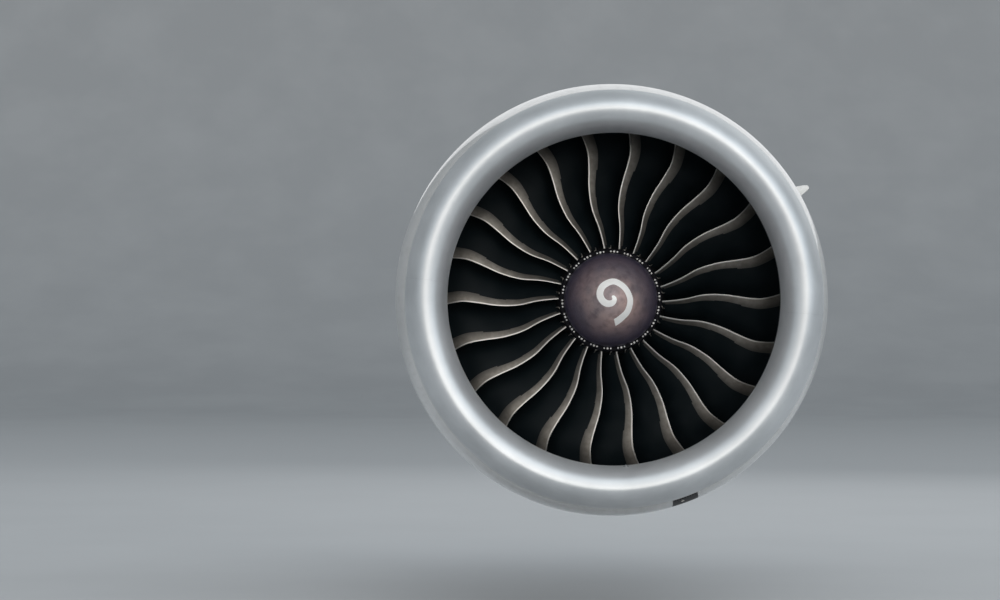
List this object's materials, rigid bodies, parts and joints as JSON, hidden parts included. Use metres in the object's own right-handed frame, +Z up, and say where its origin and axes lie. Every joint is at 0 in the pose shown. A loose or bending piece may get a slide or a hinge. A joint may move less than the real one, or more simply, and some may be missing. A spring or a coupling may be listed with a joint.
{
  "type": "jet engine",
  "caption": "High-bypass jet engine in its nacelle: fan, core and exhaust on two spools, hinged fan cowls, hinged duct halves with sliding reverser sleeves, and top mounts.",
  "frame": {"origin": "centre of the forward mount's bolt pattern, on the mount's top face, 1.15 m above the engine axis", "axes": "+Y runs aft along the engine, +Z up, +X towards the inboard side (right in the picture)"},
  "size_m": [4.0996, 6.862, 4.0865],
  "materials": {
    "lip_metal": "satin brushed aluminium skin with a bright rolled crest",
    "cowl_paint": "glossy light grey paint",
    "duct_lining": "dark perforated acoustic lining, satin",
    "vent_dark": "dark slotted vent panel",
    "case_alloy": "machined alloy casing, satin",
    "hot_alloy": "heat-tinted nickel alloy",
    "nozzle_metal": "bare formed sheet, lightly heat-tinted",
    "blade_composite": "black carbon composite with a bare metal leading edge",
    "platform_composite": "dark composite platform, satin",
    "spinner_paint": "mauve-brown metallic paint with a white spiral, satin",
    "ring_dark": "blue-black ring, satin",
    "bolt_white": "white-capped fasteners",
    "shaft_steel": "ground steel",
    "vane_alloy": "satin grey vanes",
    "accessory_grey": "grey painted housings",
    "tank_metal": "welded sheet tank",
    "unit_paint": "black finned electronics case",
    "mount_steel": "forged mount fittings",
    "cascade_composite": "dark moulded turning-vane baskets",
    "strake_paint": "cream-white paint"
  },
  "bodies": {
    "engine": {"lip_upper": "lip_metal", "lip_lower": "lip_metal", "inlet_bulkheads": "case_alloy", "inlet_outer_barrel": "cowl_paint", "inlet_inner_barrel": "duct_lining", "anti_ice_tube": "nozzle_metal", "anti_ice_outlet": "vent_dark", "inlet_probe": "case_alloy", "fan_case": "case_alloy", "fan_case_liners": "duct_lining", "outlet_guide_vanes": "vane_alloy", "fan_hub_frame": "case_alloy", "splitter_nose": "case_alloy", "booster_case": "case_alloy", "compressor_case": "case_alloy", "combustor_case": "hot_alloy", "combustor_liner": "hot_alloy", "fuel_nozzles": "hot_alloy", "turbine_nozzle": "hot_alloy", "turbine_case": "hot_alloy", "turbine_cooling_tubes": "nozzle_metal", "turbine_rear_frame": "hot_alloy", "core_nozzle": "nozzle_metal", "exhaust_plug": "nozzle_metal", "accessory_gearbox": "accessory_grey", "starter": "tank_metal", "generator": "accessory_grey", "gearbox_pumps": "accessory_grey", "oil_tank": "tank_metal", "engine_control_unit": "unit_paint", "radial_drive_housing": "accessory_grey", "forward_mount": "mount_steel", "aft_mount": "mount_steel", "thrust_links": "mount_steel", "hinge_beam": "mount_steel", "bearings": "shaft_steel"},
    "fan_spool": {"spinner": "spinner_paint", "spinner_ring": "ring_dark", "spinner_bolts": "bolt_white", "fan_blades": "blade_composite", "fan_platforms": "platform_composite", "fan_disk": "shaft_steel", "fan_shaft": "shaft_steel", "booster_rotor": "vane_alloy", "low_turbine_rotor": "hot_alloy"},
    "core_spool": {"high_compressor_rotor": "vane_alloy", "high_turbine_rotor": "hot_alloy"},
    "vane_rings": {"unison_rings": "shaft_steel"},
    "cowl_inboard": {"fan_cowl_inboard": "cowl_paint", "cowl_strake": "strake_paint"},
    "cowl_outboard": {"fan_cowl_outboard": "cowl_paint"},
    "latches": {"cowl_latches": "nozzle_metal"},
    "latch_aft": {"cowl_latch_aft": "nozzle_metal"},
    "oil_door": {"oil_access_door": "cowl_paint"},
    "duct_inboard": {"reverser_inboard": "duct_lining", "cascades_inboard": "cascade_composite"},
    "duct_outboard": {"reverser_outboard": "duct_lining", "cascades_outboard": "cascade_composite"},
    "sleeve_in": {"sleeve_inboard": "cowl_paint"},
    "sleeve_out": {"sleeve_outboard": "cowl_paint"}
  },
  "joints": [
    {"name": "fan_spin", "type": "hinge", "parent": "engine", "child": "fan_spool", "pos_m": [0, 0, -1.15], "axis": [0, 1, 0], "continuous": true},
    {"name": "core_spin", "type": "hinge", "parent": "engine", "child": "core_spool", "pos_m": [0, 0, -1.15], "axis": [0, 1, 0], "continuous": true},
    {"name": "vane_ring_turn", "type": "hinge", "parent": "engine", "child": "vane_rings", "pos_m": [0, 0, -1.15], "axis": [0, 1, 0], "range_deg": [-6, 6]},
    {"name": "cowl_inboard_open", "type": "hinge", "parent": "engine", "child": "cowl_inboard", "pos_m": [0.26, -0.67, 0.805], "axis": [0, -1, 0], "range_deg": [0, 45]},
    {"name": "cowl_outboard_open", "type": "hinge", "parent": "engine", "child": "cowl_outboard", "pos_m": [-0.26, -0.67, 0.805], "axis": [0, 1, 0], "range_deg": [0, 45]},
    {"name": "latch_swing", "type": "hinge", "parent": "cowl_outboard", "child": "latches", "pos_m": [-0.0445, -0.795, -3.18603], "axis": [0, 1, 0], "range_deg": [0, 75]},
    {"name": "latch_aft_swing", "type": "hinge", "parent": "cowl_outboard", "child": "latch_aft", "pos_m": [-0.0445, -0.27047, -3.17571], "axis": [0, 0.997, 0.078], "range_deg": [0, 75]},
    {"name": "oil_door_open", "type": "hinge", "parent": "cowl_outboard", "child": "oil_door", "pos_m": [-1.86912, -0.93, -0.32252], "axis": [0, 1, 0], "range_deg": [0, 80]},
    {"name": "duct_inboard_open", "type": "hinge", "parent": "engine", "child": "duct_inboard", "pos_m": [0.26, 0.28, 0.805], "axis": [0, -1, 0], "range_deg": [0, 40]},
    {"name": "duct_outboard_open", "type": "hinge", "parent": "engine", "child": "duct_outboard", "pos_m": [-0.26, 0.28, 0.805], "axis": [0, 1, 0], "range_deg": [0, 40]},
    {"name": "sleeve_inboard_slide", "type": "slide", "parent": "duct_inboard", "child": "sleeve_in", "axis": [0, 1, 0], "range_m": [0, 0.56]},
    {"name": "sleeve_outboard_slide", "type": "slide", "parent": "duct_outboard", "child": "sleeve_out", "axis": [0, 1, 0], "range_m": [0, 0.56]}
  ]
}
